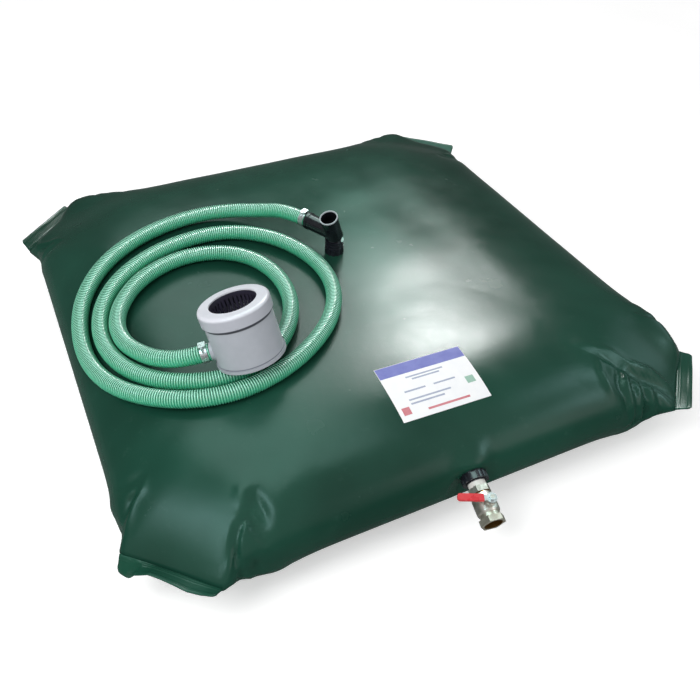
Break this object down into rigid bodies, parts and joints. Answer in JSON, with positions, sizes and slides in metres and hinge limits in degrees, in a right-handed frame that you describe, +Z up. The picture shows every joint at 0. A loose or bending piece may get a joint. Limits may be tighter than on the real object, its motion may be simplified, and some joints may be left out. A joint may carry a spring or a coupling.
{
  "type": "flexible water tank",
  "caption": "Inflated pillow tank of coated fabric with a ball valve, an inlet tee, a spiral hose lying on top and a rainwater collector.",
  "frame": {"origin": "middle of the bag's foot, on the floor", "axes": "+Z up, -Y towards the outlet valve's side, +X to the right as seen from that side"},
  "size_m": [1.4232, 1.5013, 0.4384],
  "materials": {
    "bag": "glossy coated fabric",
    "label": "printed film",
    "black_plastic": "satin",
    "seal": "matt",
    "white_plastic": "satin",
    "nickel": "satin nickel plate",
    "seat_plastic": "smooth",
    "steel": "brushed",
    "red_sleeve": "soft vinyl",
    "hose": "translucent with pale ribs",
    "grey_plastic": "satin"
  },
  "bodies": {
    "tank": {"tank_envelope": "bag", "label_plate": "label", "outlet_bulkhead": "black_plastic", "outlet_gasket": "seal", "outlet_nut": "black_plastic", "outlet_nipple": "white_plastic", "valve_body": "nickel", "valve_end_cap": "nickel", "ball_seats": "seat_plastic", "stem_packing": "seat_plastic", "gland_nut": "nickel", "top_bulkhead": "black_plastic", "top_gasket": "seal", "top_nut": "black_plastic", "union_seal": "seal", "union_nut": "black_plastic", "tee_fitting": "black_plastic", "mouth_ring": "grey_plastic", "inlet_hose": "hose", "clamp_bands": "steel", "clamp_screws": "steel", "collector_body": "grey_plastic", "collector_cap": "grey_plastic", "collector_strainer": "black_plastic"},
    "lever": {"valve_ball": "nickel", "valve_stem": "nickel", "valve_lever": "steel", "lever_sleeve": "red_sleeve", "lever_nut": "steel"}
  },
  "joints": [
    {"name": "valve_lever_turn", "type": "hinge", "parent": "tank", "child": "lever", "pos_m": [-0.00266, -0.74131, 0.11735], "axis": [-0.0333, -0.2225, 0.9744], "range_deg": [-75, 15]}
  ]
}
